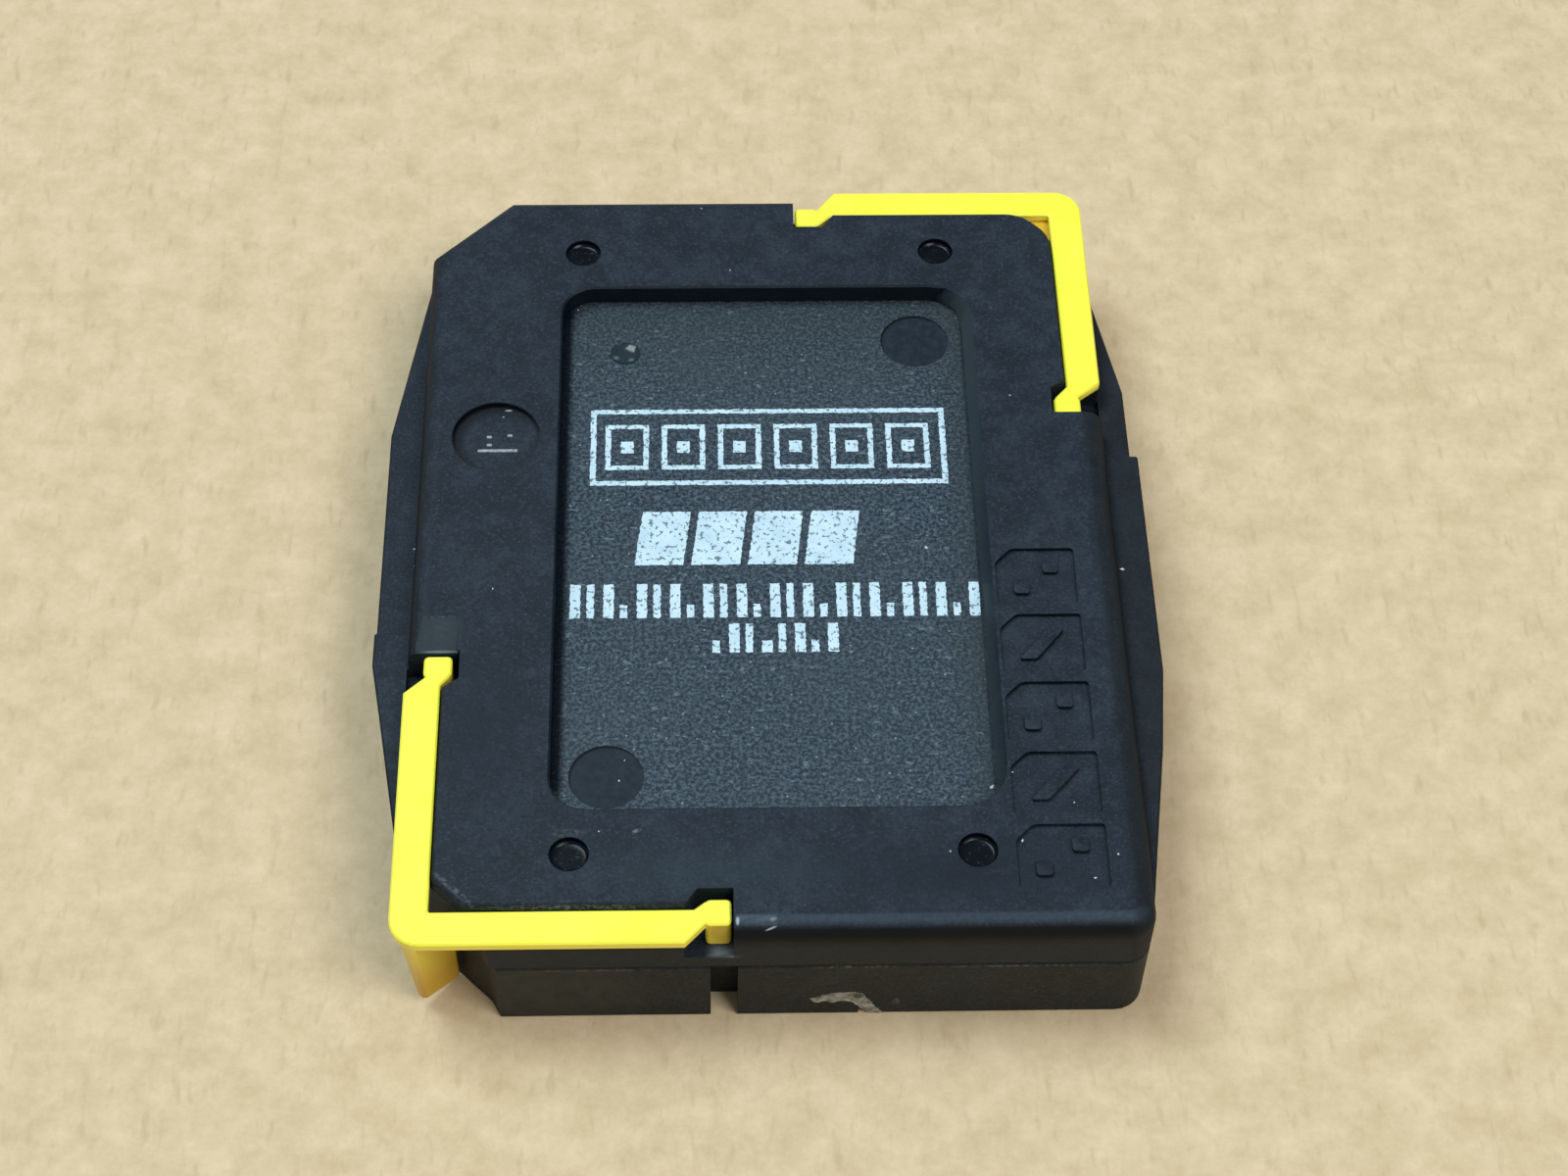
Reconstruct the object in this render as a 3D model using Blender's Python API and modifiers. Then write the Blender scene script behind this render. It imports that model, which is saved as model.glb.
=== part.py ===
"""A 100-lead flat logic chip held in a two-part moulded carrier by two spring clips.

Metres, +Z up. The carrier stands on z = 0 and is centred on X and Y, with its long side
along Y. The lower frame has a comb slot for each lead, the upper frame closes over the chip
and leaves its face in a window, and an L-shaped clip at each of two corners presses the
frames together.
"""
import math
from collections import namedtuple

import bmesh
import bpy
from mathutils import Matrix, Vector

# The chip
BODY_WIDTH = 0.014
BODY_LENGTH = 0.020
BODY_THICKNESS = 0.00275
BODY_DRAFT = 0.00016
BODY_CORNER = 0.0004
LEAD_PITCH = 0.00065
LEAD_TO_CORNER = 0.00055
LEAD_WIDTH = 0.0003
LEAD_THICKNESS = 0.00015
LEAD_REACH = 0.0016
LEAD_SHOULDER = 0.00036
LEAD_FOOT = 0.00088
LEAD_ROOT = 0.0004
STANDOFF = 0.00025
EJECTOR_MARK_DIAMETER = 0.0021
EJECTOR_MARK_DEPTH = 0.00004
EJECTOR_MARK_FROM_SIDE = 0.00234
EJECTOR_MARK_FROM_END = 0.00197
DIMPLE_DIAMETER = 0.00093
DIMPLE_DEPTH = 0.0001
DIMPLE_FROM_SIDE = 0.00281
DIMPLE_FROM_END = 0.00252

# The carrier
SIDE_BAND = 0.00325
END_BAND = 0.00355
CARRIER_HEIGHT = 0.00445
LID_THICKNESS = 0.00185
PARTING_GAP = 0.00004
RIM_ROUND = 0.0006
CORNER_ROUND = 0.0008
KEY_CORNER = 0.0024
CHIP_FACE_DROP = 0.0007
CHIP_CLEARANCE = 0.00005
SEATING_GAP = 0.00001
SIDE_LIP = 0.0008
LEFT_LIP_EXTRA = 0.0001
END_LIP = 0.0004
WINDOW_CORNER = 0.001
EDGE_BREAK = 0.00006
LEDGE_WIDTH = 0.001
LEAD_CLEARANCE = 0.00008
TOE_CLEARANCE = 0.00018
PIT_DIAMETER = 0.0011
PIT_DEPTH = 0.0005
PIT_FROM_SIDE = 0.00473
PIT_FROM_END = 0.00248
MARK_RECESS_DIAMETER = 0.0026
MARK_RECESS_DEPTH = 0.0001
MARK_RECESS_FROM_SIDE = 0.00226
MARK_RECESS_Y = 0.00362
NICK_X = 0.00262
NICK_LENGTH = 0.00056
NICK_HEIGHT = 0.00036
NICK_SHOULDER = 0.0003
NICK_DEPTH = 0.0003
PEG_FROM_SIDE = 0.00185
PEG_FROM_END = 0.00235
PEG_DIAMETER = 0.001
PEG_TIP_DIAMETER = 0.00085
PEG_HEIGHT = 0.0009
PEG_CLEARANCE = 0.00005

# The grip flanges: how far each bend stands out of the carrier's side, and how far it is from the middle
WING_DROP = 0.0011
PAD_RISE = 0.0002
WING_REACH = 0.00105
PAD_SHOULDER_REACH = 0.00078
LEFT_PAD_STEP = -0.00295
LEFT_PAD_BEND = 0.0041
LEFT_PAD_SHOULDER = 0.0057
LEFT_PAD_TOE_REACH = 0.0002
LEFT_WING_REACH = 0.00101
LEFT_WING_BEND = 0.0046
RIGHT_PAD_STEP = 0.00344
RIGHT_PAD_BEND = 0.0045
RIGHT_PAD_SHOULDER = 0.0072
RIGHT_WING_REACH = 0.00085
RIGHT_WING_BEND = 0.00615

# How far in from the carrier's end each flange runs out
LEFT_PAD_TOE = 0.00425
LEFT_PAD_START = 0.00305
LEFT_WING_START = 0.0026
RIGHT_PAD_START = 0.0009
RIGHT_WING_START = 0.0027

# The clips and their seats
CLIP_THICKNESS = 0.00032
CLIP_TOP_DROP = 0.0002
ARM_WIDTH = 0.00103
CLIP_CLEARANCE = 0.00005
SEAT_FLOOR_CLEARANCE = 0.00002
SEAT_IN_FRONT = 0.0009
SEAT_IN_SIDE = 0.00105
SEAT_CORNER_SETBACK = 0.00003
SEAT_ROUND = 0.0002
SEAT_SIDE_ROUND = 0.00012
FACE_CORNER_FRONT = 0.0003
FACE_CORNER_BACK = 0.0012
CLIP_CORNER = 0.00085
CLIP_EDGE = 0.00005
NOTCH_END_X = 0.0011
NOTCH_END_Y = 0.00425
NOTCH_LENGTH = 0.00097
NOTCH_TAPER = 0.00037
NOTCH_INSET = 0.00047
SEAT_IN_BACK = 0.00078
BACK_NOTCH_END_Y = 0.00442
BACK_NOTCH_INSET = 0.00061
BACK_TAB_SHIFT = 0.00046
BACK_SIDE_TAB_SHIFT = 0.00043
NOTCH_DEPTH = 0.0013
TAB_CLEARANCE = 0.00006
TAB_WIDTH = 0.0008
TAB_LENGTH = 0.0007
TAB_SHIFT = 0.0003
TAB_BEVEL = 0.00055
TAB_CORNER = 0.00014
RAMP_WIDTH = 0.00122
RAMP_CORNER = 0.0003
RAMP_LENGTH = 0.00123
RAMP_DEPTH = 0.00016
CUT_CORNER = 0.00275
LID_CUT_CORNER = 0.00256
LID_CUT_BACK_CORNER = 0.00246
CUT_STEP = 0.0005
CUT_STEP_SHIFT = 0.00026
FIN_THICKNESS = 0.0007
FIN_TIP_THICKNESS = 0.00035
FIN_DROP = 0.004
FIN_INSET = 0.00018
FIN_TAPER = 0.00029
FIN_GAP = 0.00008
FIN_TOE = 0.00014
FIN_TOE_DROP = 0.0003
FIN_SHOULDER = 0.0009
FIN_EDGE = 0.0001
TOOL_GAP_WIDTH = 0.00074
TOOL_GAP_DEPTH = 0.00073
TOOL_GAP_X = 0.00136

# How far a cutter runs past the face that it cuts, and the least step between two faces of one piece
OVERRUN = 0.0005
LEAST_STEP = 0.00001

# Edges that turn by more than this many degrees are broken, and points this close are one point
SHARP_ANGLE = 50
SAME_PLACE = 1e-7

HALF_WIDTH = BODY_WIDTH / 2 + SIDE_BAND
HALF_LENGTH = BODY_LENGTH / 2 + END_BAND
PARTING_HEIGHT = CARRIER_HEIGHT - LID_THICKNESS
WING_HEIGHT = CARRIER_HEIGHT - WING_DROP
CHIP_TOP = CARRIER_HEIGHT - CHIP_FACE_DROP
CHIP_BOTTOM = CHIP_TOP - BODY_THICKNESS
LEAD_EXIT = CHIP_TOP - BODY_THICKNESS / 2
CLIP_TOP = CARRIER_HEIGHT - CLIP_TOP_DROP
CLIP_UNDERSIDE = CLIP_TOP - CLIP_THICKNESS
SEAT_FLOOR = CLIP_UNDERSIDE - SEAT_FLOOR_CLEARANCE
NOTCH_FLOOR = CARRIER_HEIGHT - NOTCH_DEPTH
TAB_UNDERSIDE = NOTCH_FLOOR + TAB_CLEARANCE
FIN_TIP = CARRIER_HEIGHT - FIN_DROP
LOWER_TOP = PARTING_HEIGHT - PARTING_GAP / 2
UPPER_BOTTOM = PARTING_HEIGHT + PARTING_GAP / 2
SIDE_WALL = HALF_WIDTH - SEAT_IN_SIDE

# The two corners that hold a clip: where the seat's end wall stands, where the side notch ends, how far
# the end notch and each tab reach in, how round the face's cut corner is, and how much is cut off
Corner = namedtuple("Corner", "name end_wall side_end end_inset end_shift side_shift face_round cut")
FRONT_LEFT = Corner("front left", HALF_LENGTH - SEAT_IN_FRONT, NOTCH_END_Y, NOTCH_INSET, TAB_SHIFT, TAB_SHIFT,
                    FACE_CORNER_FRONT, LID_CUT_CORNER)
BACK_RIGHT = Corner("back right", HALF_LENGTH - SEAT_IN_BACK, BACK_NOTCH_END_Y, BACK_NOTCH_INSET,
                    BACK_TAB_SHIFT, BACK_SIDE_TAB_SHIFT, FACE_CORNER_BACK, LID_CUT_BACK_CORNER)


def new_collection(name):
    """A collection linked to the scene."""
    collection = bpy.data.collections.new(name)
    bpy.context.scene.collection.children.link(collection)
    return collection


def new_material(name, colour, roughness, metallic=0.0):
    """A Principled material."""
    material = bpy.data.materials.new(name)
    material.use_nodes = True
    shader = material.node_tree.nodes["Principled BSDF"]
    shader.inputs["Base Color"].default_value = (*colour, 1.0)
    shader.inputs["Roughness"].default_value = roughness
    shader.inputs["Metallic"].default_value = metallic
    return material


def rounded(corners, steps=6):
    """An outline through corners (x, y) or (x, y, radius), with an arc at each radius."""
    outline = []
    for index, corner in enumerate(corners):
        here = Vector(corner[:2])
        if len(corner) < 3:
            outline.append(tuple(here))
            continue
        radius = corner[2]
        before = (Vector(corners[index - 1][:2]) - here).normalized()
        after = (Vector(corners[(index + 1) % len(corners)][:2]) - here).normalized()
        half_angle = before.angle(after) / 2
        centre = here + (before + after).normalized() * radius / math.sin(half_angle)
        start = here + before * radius / math.tan(half_angle) - centre
        sweep = start.angle_signed(here + after * radius / math.tan(half_angle) - centre)
        for step in range(steps + 1):
            arm = Matrix.Rotation(-sweep * step / steps, 2) @ start
            outline.append(tuple(centre + arm))
    return outline


def turned(outline):
    """The same outline after half a turn about the middle of the carrier."""
    return [(-corner[0], -corner[1], *corner[2:]) for corner in outline]


def box(left, front, right, back):
    """The four corners of a rectangle."""
    return [(left, front), (right, front), (right, back), (left, back)]


def solid(name, mesh, home, material=None):
    """An object made of a mesh and put in its collection, drawn as wire when it is a cutter."""
    piece = bpy.data.objects.new(name, mesh)
    home.objects.link(piece)
    if material is None:
        piece.hide_render = True
        piece.display_type = "WIRE"
    else:
        mesh.materials.clear()
        mesh.materials.append(material)
    return piece


def plate_mesh(name, outline, bottom, top):
    """A flat outline, filled and extruded between two heights."""
    curve = bpy.data.curves.new(name, "CURVE")
    curve.dimensions = "2D"
    curve.fill_mode = "BOTH"
    curve.extrude = (top - bottom) / 2
    spline = curve.splines.new("POLY")
    spline.points.add(len(outline) - 1)
    for point, corner in zip(spline.points, outline):
        point.co = (corner[0], corner[1], 0, 1)
    spline.use_cyclic_u = True
    guide = bpy.data.objects.new(name, curve)
    bpy.context.scene.collection.objects.link(guide)
    bpy.context.view_layer.update()
    mesh = bpy.data.meshes.new_from_object(guide.evaluated_get(bpy.context.evaluated_depsgraph_get()))
    bpy.data.objects.remove(guide)
    bpy.data.curves.remove(curve)
    for vertex in mesh.vertices:
        vertex.co.z = top if vertex.co.z > 0 else bottom
    weld_caps(mesh)
    return mesh


def weld_caps(mesh):
    """Welds the loose caps of an extruded outline, makes each one flat face and turns all faces outwards."""
    work = bmesh.new()
    work.from_mesh(mesh)
    bmesh.ops.remove_doubles(work, verts=work.verts, dist=SAME_PLACE / 10)
    bmesh.ops.recalc_face_normals(work, faces=work.faces)
    for way in (-1, 1):
        bmesh.ops.dissolve_faces(work, faces=[face for face in work.faces if face.normal.z * way > 0.5])
    work.to_mesh(mesh)
    work.free()


def round_rim(piece, height, width, segments, weigh=None):
    """Bevels the edges that lie at one height, each by its weight (1 unless weigh gives another)."""
    mesh = piece.data
    weights = mesh.attributes.new("bevel_weight_edge", "FLOAT", "EDGE")
    for edge in mesh.edges:
        ends = [mesh.vertices[index].co for index in edge.vertices]
        if all(abs(end.z - height) < SAME_PLACE for end in ends):
            weights.data[edge.index].value = weigh(*ends) if weigh else 1.0
    bevel = piece.modifiers.new("round " + piece.name, "BEVEL")
    bevel.limit_method = "WEIGHT"
    bevel.width = width
    bevel.segments = segments
    bevel.use_clamp_overlap = False


def cut(piece, cutter, operation="DIFFERENCE"):
    """Cuts or joins one piece with another."""
    boolean = piece.modifiers.new(cutter.name, "BOOLEAN")
    boolean.operation = operation
    boolean.object = cutter


def merged_mesh(name, meshes):
    """One mesh out of several that don't touch."""
    work = bmesh.new()
    for mesh in meshes:
        work.from_mesh(mesh)
    merged = bpy.data.meshes.new(name)
    work.to_mesh(merged)
    work.free()
    return merged


def round_mesh(name, place, bottom, top, diameter, top_diameter=None, segments=24):
    """An upright cylinder at a place (x, y), or a frustum where its top has a diameter of its own."""
    work = bmesh.new()
    bmesh.ops.create_cone(work, cap_ends=True, segments=segments, radius1=diameter / 2,
                          radius2=(top_diameter or diameter) / 2, depth=top - bottom,
                          matrix=Matrix.Translation((*place, (bottom + top) / 2)))
    mesh = bpy.data.meshes.new(name)
    work.to_mesh(mesh)
    work.free()
    return mesh


def lead_places():
    """The place and turn of each lead: its root on the body's side and the way it points."""
    sides = (
        (BODY_LENGTH, BODY_WIDTH, 0),
        (BODY_WIDTH, BODY_LENGTH, math.pi / 2),
        (BODY_LENGTH, BODY_WIDTH, math.pi),
        (BODY_WIDTH, BODY_LENGTH, -math.pi / 2),
    )
    for side, breadth, turn in sides:
        distance = breadth / 2
        count = int((side - 2 * LEAD_TO_CORNER) / LEAD_PITCH) + 1
        for index in range(count):
            along = (index - (count - 1) / 2) * LEAD_PITCH
            yield Matrix.Rotation(turn, 4, "Z") @ Matrix.Translation((distance, along, 0))


def repeated_mesh(name, mesh):
    """One mesh with a copy of the given one at each lead."""
    work = bmesh.new()
    for place in lead_places():
        copy = mesh.copy()
        copy.transform(place)
        work.from_mesh(copy)
        bpy.data.meshes.remove(copy)
    merged = bpy.data.meshes.new(name)
    work.to_mesh(merged)
    work.free()
    return merged


def carrier_outline():
    """The block that both frames share: a rectangle with rounded corners, one of them keyed."""
    return rounded([
        (-HALF_WIDTH, -HALF_LENGTH, CORNER_ROUND),
        (HALF_WIDTH, -HALF_LENGTH, CORNER_ROUND),
        (HALF_WIDTH, HALF_LENGTH, CORNER_ROUND),
        (-HALF_WIDTH + KEY_CORNER, HALF_LENGTH),
        (-HALF_WIDTH, HALF_LENGTH - KEY_CORNER),
    ])


def wing_parts():
    """The grip flanges: for each part its name, its outline, and whether it is a raised front pad."""
    left_pad = [
        (WING_REACH, LEFT_PAD_BEND), (PAD_SHOULDER_REACH, LEFT_PAD_SHOULDER),
        (LEFT_PAD_TOE_REACH, HALF_LENGTH - LEFT_PAD_TOE), (0, HALF_LENGTH - LEFT_PAD_START),
    ]
    left_wing = [(LEFT_WING_REACH, LEFT_WING_BEND), (0, HALF_LENGTH - LEFT_WING_START)]
    right_pad = [
        (WING_REACH, RIGHT_PAD_BEND), (PAD_SHOULDER_REACH, RIGHT_PAD_SHOULDER),
        (0, HALF_LENGTH - RIGHT_PAD_START),
    ]
    right_wing = [(RIGHT_WING_REACH, RIGHT_WING_BEND), (0, HALF_LENGTH - RIGHT_WING_START)]
    for name, side, step, bends, raised in (
        ("left pad", -1, LEFT_PAD_STEP, left_pad, True),
        ("left wing", -1, LEFT_PAD_STEP - OVERRUN, left_wing, False),
        ("right pad", 1, RIGHT_PAD_STEP, right_pad, True),
        ("right wing", 1, RIGHT_PAD_STEP - OVERRUN, right_wing, False),
    ):
        end = -1 if raised else 1
        root = side * (HALF_WIDTH - OVERRUN * (1 if raised else 2))
        edge = [(side * (HALF_WIDTH + reach), end * place) for reach, place in bends]
        yield name, [(root, step), (edge[0][0], step), *edge, (root, edge[-1][1])], raised


def chamfered(piece, width=EDGE_BREAK):
    """Breaks every sharp edge of a piece."""
    bevel = piece.modifiers.new("edges of " + piece.name, "BEVEL")
    bevel.limit_method = "ANGLE"
    bevel.angle_limit = math.radians(SHARP_ANGLE)
    bevel.width = width
    bevel.segments = 1


def flat_faced(piece):
    """Splits the slightly twisted strips that Bevel leaves into flat triangles, for clean later cuts."""
    piece.modifiers.new("flat faces of " + piece.name, "TRIANGULATE")


def carrier_block(name, bottom, top, wing_top, pad_top, window, material):
    """What both frames start from: the block with its window and its grip flanges."""
    piece = solid(name, plate_mesh(name, carrier_outline(), bottom, top), parts, material)
    if top > PARTING_HEIGHT:
        round_rim(piece, top, RIM_ROUND, segments=5)
    cut(piece, solid(name + " window", plate_mesh(name, window, bottom - OVERRUN, top + OVERRUN), cutters))
    chamfered(piece)
    flat_faced(piece)
    for part, outline, raised in wing_parts():
        height = pad_top if raised else wing_top - LEAST_STEP
        foot = bottom + LEAST_STEP * (1 if raised else 2)
        wing = solid(f"{name} {part}", plate_mesh(part, outline, foot, height), cutters)
        chamfered(wing)
        cut(piece, wing, "UNION")
    return piece


def cut_corner(piece, name, corner, outline, bottom, top):
    """Cuts an outline, drawn for the front left corner, out of that corner or, half a turn on, the other."""
    shape = turned(outline) if corner == BACK_RIGHT else outline
    cut(piece, solid(f"{name} {corner.name}", plate_mesh(name, shape, bottom, top), cutters))


def corner_cut(size):
    """A corner that is cut off at 45 degrees, with a small step at each end, for the clip's fin."""
    near = size - CUT_STEP_SHIFT
    beyond = size + CUT_STEP_SHIFT
    shape = [
        (-CUT_STEP, -CUT_STEP), (beyond, -CUT_STEP), (near, CUT_STEP), (CUT_STEP, near), (-CUT_STEP, beyond),
    ]
    return [(x - HALF_WIDTH, y - HALF_LENGTH) for x, y in shape]


def cut_wall(cut_size):
    """How far along x plus y the wall of a cut corner stands from the middle."""
    return HALF_WIDTH + HALF_LENGTH - (cut_size - CUT_STEP_SHIFT) - CUT_STEP


def seat_cutter(corner):
    """The L that a clip's arms lie in, whose inner wall keeps the rounded rim of the face."""
    inner_x = -SIDE_WALL + SEAT_ROUND + OVERRUN
    inner_y = -corner.end_wall + SEAT_ROUND + OVERRUN
    end_x = -NOTCH_END_X - NOTCH_LENGTH / 2
    end_y = -corner.side_end - NOTCH_LENGTH / 2
    outer_x = -HALF_WIDTH - OVERRUN
    outer_y = -HALF_LENGTH - OVERRUN
    seat = [(outer_x, outer_y), (end_x, outer_y), (end_x, inner_y), (inner_x, inner_y), (inner_x, end_y),
            (outer_x, end_y)]
    leg = SIDE_WALL + corner.end_wall - cut_wall(corner.cut) + SEAT_CORNER_SETBACK
    face = rounded([
        (-SIDE_WALL, 0), (-SIDE_WALL, -corner.end_wall + leg, corner.face_round),
        (-SIDE_WALL + leg, -corner.end_wall, corner.face_round), (0, -corner.end_wall), (0, 0),
    ])
    if corner == BACK_RIGHT:
        seat = turned(seat)
        face = turned(face)

    def weigh(a, b):
        """Full width along the front and the corner, less along the side, none on the two inner edges."""
        if abs(a.x + b.x) < SAME_PLACE or abs(a.y + b.y) < SAME_PLACE:
            return 0.0
        return SEAT_SIDE_ROUND / SEAT_ROUND if abs(a.x - b.x) < SAME_PLACE else 1.0

    above = CARRIER_HEIGHT + OVERRUN
    rim_top = CARRIER_HEIGHT + LEAST_STEP
    cutter = solid(f"seat {corner.name}", plate_mesh("seat", seat, SEAT_FLOOR, above), cutters)
    rim = solid(f"rim {corner.name}", plate_mesh("rim", face, SEAT_FLOOR - OVERRUN, rim_top), cutters)
    round_rim(rim, rim_top, SEAT_ROUND, segments=3, weigh=weigh)
    flat_faced(rim)
    cut(cutter, rim)
    return cutter


def notches(corner):
    """The two notches at the ends of a clip's arms, one in the front edge and one in the left side."""
    inner_y = -corner.end_wall + corner.end_inset
    inner_x = -SIDE_WALL + NOTCH_INSET
    taper_y = -corner.end_wall - CLIP_CLEARANCE
    taper_x = -SIDE_WALL - CLIP_CLEARANCE
    front = -HALF_LENGTH - OVERRUN
    side = -HALF_WIDTH - CLIP_CLEARANCE
    in_front = [
        (-NOTCH_END_X - NOTCH_LENGTH - NOTCH_TAPER, front), (-NOTCH_END_X, front), (-NOTCH_END_X, inner_y),
        (-NOTCH_END_X - NOTCH_LENGTH, inner_y), (-NOTCH_END_X - NOTCH_LENGTH - NOTCH_TAPER, taper_y),
    ]
    in_side = [
        (inner_x, -corner.side_end), (side, -corner.side_end),
        (side, -corner.side_end - NOTCH_LENGTH - NOTCH_TAPER),
        (taper_x, -corner.side_end - NOTCH_LENGTH - NOTCH_TAPER), (inner_x, -corner.side_end - NOTCH_LENGTH),
    ]
    return in_front, in_side


def ramp_cutter():
    """The shallow scoop in the left band that leads a tool under the clip's tab."""
    right = -SIDE_WALL + NOTCH_INSET - EDGE_BREAK
    left = right - RAMP_WIDTH
    scoop = rounded([(left, -RAMP_LENGTH - OVERRUN), (right, -RAMP_LENGTH - OVERRUN), (right, 0, RAMP_CORNER),
                     (left, 0, RAMP_CORNER)], steps=4)
    mesh = plate_mesh("ramp", scoop, 0, OVERRUN)
    slope = math.atan2(RAMP_DEPTH, RAMP_LENGTH)
    place = Matrix.Translation((0, -NOTCH_END_Y + RAMP_LENGTH, CARRIER_HEIGHT))
    mesh.transform(place @ Matrix.Rotation(slope, 4, "X"))
    return solid("ramp", mesh, cutters)


def peg_places():
    """The two corners, clear of the clips, where pegs on the lower frame locate the upper one."""
    x = HALF_WIDTH - PEG_FROM_SIDE
    y = HALF_LENGTH - PEG_FROM_END
    return (x, -y), (-x, y)


def upper_frame(material):
    """The lid: a frame round the chip's face with seats, notches and corner cuts for the clips."""
    half_x = BODY_WIDTH / 2 - SIDE_LIP
    half_y = BODY_LENGTH / 2 - END_LIP
    opening = box(-half_x + LEFT_LIP_EXTRA, -half_y, half_x, half_y)
    window = rounded([(*corner, WINDOW_CORNER) for corner in opening])
    piece = carrier_block("upper_frame", UPPER_BOTTOM, CARRIER_HEIGHT, WING_HEIGHT, WING_HEIGHT + PAD_RISE,
                          window, material)
    above = CARRIER_HEIGHT + OVERRUN
    for corner in (FRONT_LEFT, BACK_RIGHT):
        cut_corner(piece, "upper corner", corner, corner_cut(corner.cut), UPPER_BOTTOM - OVERRUN, above)
    for corner in (FRONT_LEFT, BACK_RIGHT):
        cut(piece, seat_cutter(corner))
    for corner in (FRONT_LEFT, BACK_RIGHT):
        in_front, in_side = notches(corner)
        cut_corner(piece, "front notch", corner, in_front, NOTCH_FLOOR, above)
        cut_corner(piece, "side notch", corner, in_side, NOTCH_FLOOR, above)
    cut(piece, ramp_cutter())
    half_x = BODY_WIDTH / 2 + CHIP_CLEARANCE
    half_y = BODY_LENGTH / 2 + CHIP_CLEARANCE
    pocket = plate_mesh("lid pocket", box(-half_x, -half_y, half_x, half_y), UPPER_BOTTOM - OVERRUN,
                        CHIP_TOP + CHIP_CLEARANCE)
    cut(piece, solid("lid pocket", pocket, cutters))
    pit_x = HALF_WIDTH - PIT_FROM_SIDE
    pit_y = HALF_LENGTH - PIT_FROM_END
    round_cuts = [
        round_mesh("pit", (x, y), CARRIER_HEIGHT - PIT_DEPTH, CARRIER_HEIGHT + OVERRUN, PIT_DIAMETER)
        for x in (-pit_x, pit_x) for y in (-pit_y, pit_y)
    ]
    recess_place = (-HALF_WIDTH + MARK_RECESS_FROM_SIDE, MARK_RECESS_Y)
    round_cuts.append(round_mesh("mark recess", recess_place, CARRIER_HEIGHT - MARK_RECESS_DEPTH,
                                 CARRIER_HEIGHT + OVERRUN, MARK_RECESS_DIAMETER, segments=40))
    round_cuts += [
        round_mesh("peg hole", place, UPPER_BOTTOM - OVERRUN, LOWER_TOP + PEG_HEIGHT + PEG_CLEARANCE,
                   PEG_DIAMETER + 2 * PEG_CLEARANCE)
        for place in peg_places()
    ]
    cut(piece, solid("round cuts", merged_mesh("round cuts", round_cuts), cutters))
    return piece


def nick_cutter():
    """The chip that is broken out of the front bottom edge, deepest at the bottom."""
    across = NICK_LENGTH / 2
    break_line = [
        (-across, -OVERRUN), (across, -OVERRUN), (across, 0), (0, NICK_HEIGHT), (-across, NICK_SHOULDER),
    ]
    mesh = plate_mesh("nick", break_line, -NICK_DEPTH, OVERRUN)
    lean = math.atan2(NICK_DEPTH, NICK_HEIGHT) / 2
    place = Matrix.Translation((NICK_X, -HALF_LENGTH, 0)) @ Matrix.Rotation(math.pi / 2 - lean, 4, "X")
    mesh.transform(place)
    return solid("nick", mesh, cutters)


def lower_frame(material):
    """The base: a ledge under the chip, a comb slot round each lead and an open underside."""
    half_x = BODY_WIDTH / 2 - LEDGE_WIDTH
    half_y = BODY_LENGTH / 2 - LEDGE_WIDTH
    window = rounded([(*corner, WINDOW_CORNER) for corner in box(-half_x, -half_y, half_x, half_y)])
    wing_top = LOWER_TOP - LEAST_STEP
    piece = carrier_block("lower_frame", 0, LOWER_TOP, wing_top, wing_top, window, material)
    for corner in (FRONT_LEFT, BACK_RIGHT):
        cut_corner(piece, "lower corner", corner, corner_cut(CUT_CORNER), -OVERRUN, LOWER_TOP + OVERRUN)
    gap = box(-TOOL_GAP_X - TOOL_GAP_WIDTH / 2, -HALF_LENGTH - OVERRUN, -TOOL_GAP_X + TOOL_GAP_WIDTH / 2,
              -HALF_LENGTH + TOOL_GAP_DEPTH)
    for corner in (FRONT_LEFT, BACK_RIGHT):
        cut_corner(piece, "tool gap", corner, gap, -OVERRUN, LOWER_TOP + OVERRUN)
    half_x = BODY_WIDTH / 2 + CHIP_CLEARANCE
    half_y = BODY_LENGTH / 2 + CHIP_CLEARANCE
    pocket = plate_mesh("chip pocket", box(-half_x, -half_y, half_x, half_y), CHIP_BOTTOM - SEATING_GAP,
                        LOWER_TOP + OVERRUN)
    cut(piece, solid("chip pocket", pocket, cutters))
    cut(piece, nick_cutter())
    half_slot = LEAD_WIDTH / 2 + LEAD_CLEARANCE
    slot = plate_mesh("slot", box(0, -half_slot, LEAD_REACH + TOE_CLEARANCE, half_slot), -OVERRUN,
                      LOWER_TOP + OVERRUN)
    cut(piece, solid("comb slots", repeated_mesh("comb slots", slot), cutters))
    pegs = [
        round_mesh("peg", place, LOWER_TOP - OVERRUN, LOWER_TOP + PEG_HEIGHT, PEG_DIAMETER, PEG_TIP_DIAMETER)
        for place in peg_places()
    ]
    cut(piece, solid("pegs", merged_mesh("pegs", pegs), cutters), "UNION")
    return piece


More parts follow.
